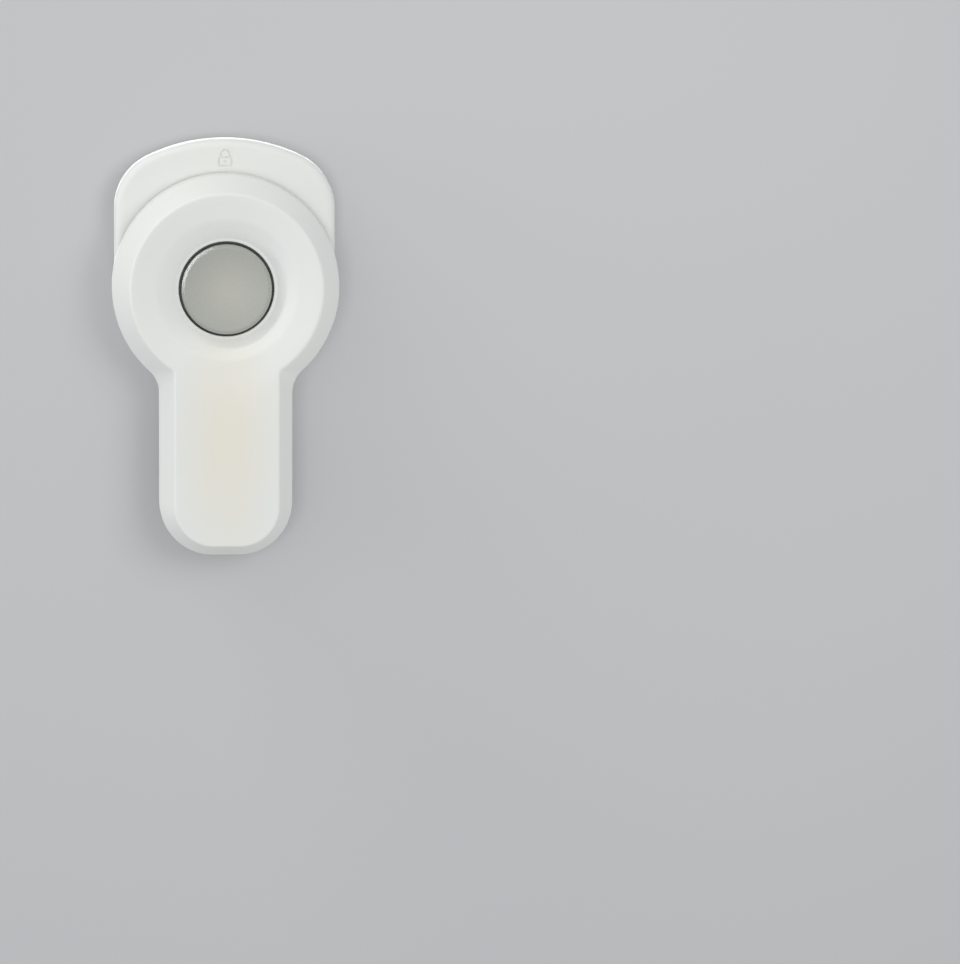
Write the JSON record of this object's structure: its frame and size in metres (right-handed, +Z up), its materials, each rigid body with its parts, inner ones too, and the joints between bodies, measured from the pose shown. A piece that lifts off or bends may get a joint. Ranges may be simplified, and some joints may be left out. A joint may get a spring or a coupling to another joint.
{
  "type": "oven safety lock",
  "caption": "Stick-on child lock: a shield-shaped base with a keyhole-shaped swing arm that hangs over the oven door, freed by a round push button in its dished head.",
  "frame": {"origin": "on the arm's pivot axis, at the rear face of the adhesive pad, which is the plane of the oven's panel", "axes": "+Z up the panel, +Y into the oven, the front faces -Y, +X to the right of the one who looks at it"},
  "size_m": [0.0596, 0.021, 0.1095],
  "materials": {
    "shell_white": "satin off-white moulding",
    "hidden_white": "plain off-white moulding",
    "button_grey": "satin warm grey moulding",
    "acetal": "natural sprung plastic",
    "nylon": "natural slip ring",
    "steel": "plated steel",
    "foam_tape": "closed-cell foam tape",
    "soft_rubber": "matt soft rubber"
  },
  "bodies": {
    "base": {"adhesive_pad": "foam_tape", "back_plate": "hidden_white", "base_housing": "shell_white", "base_screw_1": "steel", "base_screw_2": "steel", "base_screw_3": "steel", "base_screw_4": "steel", "retaining_ring": "steel", "lock_latch": "acetal", "return_spring": "steel"},
    "arm": {"arm_cover": "shell_white", "arm_back": "hidden_white", "arm_screw_1": "steel", "arm_screw_2": "steel", "arm_screw_3": "steel", "arm_screw_4": "steel", "friction_washer": "nylon", "door_pad": "soft_rubber"},
    "button": {"button_cap": "button_grey", "button_plunger": "acetal"}
  },
  "joints": [
    {"name": "arm_swing", "type": "hinge", "parent": "base", "child": "arm", "pos_m": [0, 0, 0], "axis": [0, -1, 0], "range_deg": [-90, 90], "deforming": ["lock_latch"]},
    {"name": "button_press", "type": "slide", "parent": "base", "child": "button", "axis": [0, 1, 0], "range_m": [0, 0.0025], "stiffness_N_per_m": 1000, "springref_m": -0.002, "deforming": ["return_spring"]}
  ]
}
